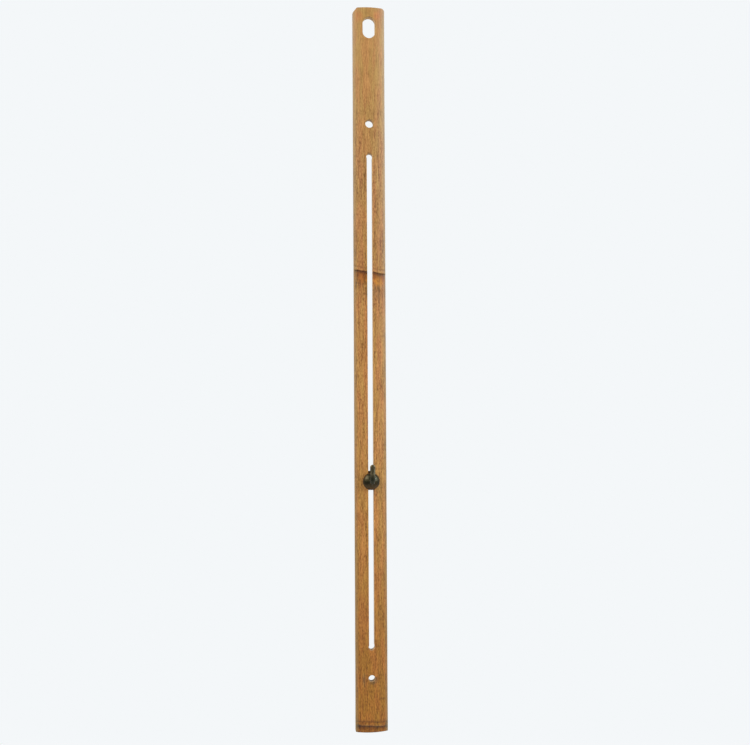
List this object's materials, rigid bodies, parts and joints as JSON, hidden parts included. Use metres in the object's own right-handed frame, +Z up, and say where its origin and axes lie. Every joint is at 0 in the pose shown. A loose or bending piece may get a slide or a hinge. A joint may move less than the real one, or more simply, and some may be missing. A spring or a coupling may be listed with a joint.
{
  "type": "slotted bamboo hanging rod",
  "caption": "Flat bamboo slat with a hanging hole, fixing holes and a long slot; a domed screw clamp with an upturned hook slides in the slot and locks at any height.",
  "frame": {"origin": "middle of the hanging hole, on the plane of the slat's planed back, which lies against the wall", "axes": "+Z up along the slat, +X to the right seen from the front, +Y into the wall, so the round front face looks along -Y"},
  "size_m": [0.032, 0.0275, 0.72],
  "materials": {
    "bamboo": "natural smoked bamboo skin, satin, with fine upright fibres",
    "clamp_steel": "dull filed steel",
    "rivet_steel": "bright filed rivet heads",
    "leather": "dark brown vegetable-tanned leather",
    "boss_iron": "blackened iron with an olive patina, satin",
    "hook_iron": "forged iron, dark olive-brown patina, satin"
  },
  "bodies": {
    "slat": {"bamboo_slat": "bamboo"},
    "runner": {"runner_nut": "clamp_steel", "rear_plate": "clamp_steel", "plate_rivets": "rivet_steel"},
    "washers": {"leather_washer": "leather", "retaining_ring": "clamp_steel"},
    "hook": {"domed_boss": "boss_iron", "hook": "hook_iron"}
  },
  "joints": [
    {"name": "hook_slide", "type": "slide", "parent": "slat", "child": "runner", "axis": [0, 0, 1], "range_m": [-0.1602, 0.3177]},
    {"name": "hook_backs_off", "type": "slide", "parent": "runner", "child": "washers", "axis": [0, -1, 0], "range_m": [0, 0.00061]},
    {"name": "hook_turn", "type": "hinge", "parent": "washers", "child": "hook", "pos_m": [0, -0.0125, -0.4505], "axis": [0, -1, 0], "range_deg": [0, 360]}
  ],
  "couplings": [
    {"joint": "hook_backs_off", "follows": "hook_turn", "m_per_rad": 0.000095493}
  ]
}
